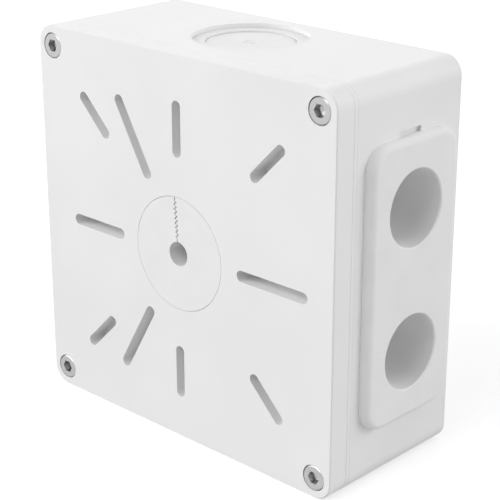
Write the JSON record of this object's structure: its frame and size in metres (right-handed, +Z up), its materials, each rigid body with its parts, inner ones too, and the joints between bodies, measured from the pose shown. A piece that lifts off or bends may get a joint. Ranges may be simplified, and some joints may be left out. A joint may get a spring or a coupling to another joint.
{
  "type": "camera junction box",
  "caption": "Square white surface-mount box with a screwed slotted cover for a camera, a split centre cable seal, a side pad with conduit sockets and a round top entry membrane.",
  "frame": {"origin": "centre of the flat back face, which goes against the wall", "axes": "+X to the right seen from the front (the side with the conduit pad), +Y into the wall, +Z up; the cover faces -Y"},
  "size_m": [0.1386, 0.06, 0.135],
  "materials": {
    "white_shell": "fine satin moulded finish",
    "white_seal": "smooth soft white rubber",
    "grey_gasket": "plain",
    "screw_steel": "plain stainless",
    "insert_brass": "plain",
    "retainer_nylon": "plain nylon"
  },
  "bodies": {
    "root": {"rear_box": "white_shell", "front_cover": "white_shell", "cover_gasket": "grey_gasket", "cable_seal": "white_seal", "side_conduit_seal": "white_seal", "top_entry_seal": "white_seal", "rear_entry_seal": "white_seal", "cover_screw_1": "screw_steel", "cover_screw_2": "screw_steel", "cover_screw_3": "screw_steel", "cover_screw_4": "screw_steel", "threaded_insert_1": "insert_brass", "threaded_insert_2": "insert_brass", "threaded_insert_3": "insert_brass", "threaded_insert_4": "insert_brass", "screw_retainer_1": "retainer_nylon", "screw_retainer_2": "retainer_nylon", "screw_retainer_3": "retainer_nylon", "screw_retainer_4": "retainer_nylon", "wall_screw_seal_1": "white_seal", "wall_screw_seal_2": "white_seal", "wall_screw_seal_3": "white_seal", "wall_screw_seal_4": "white_seal"}
  },
  "joints": []
}
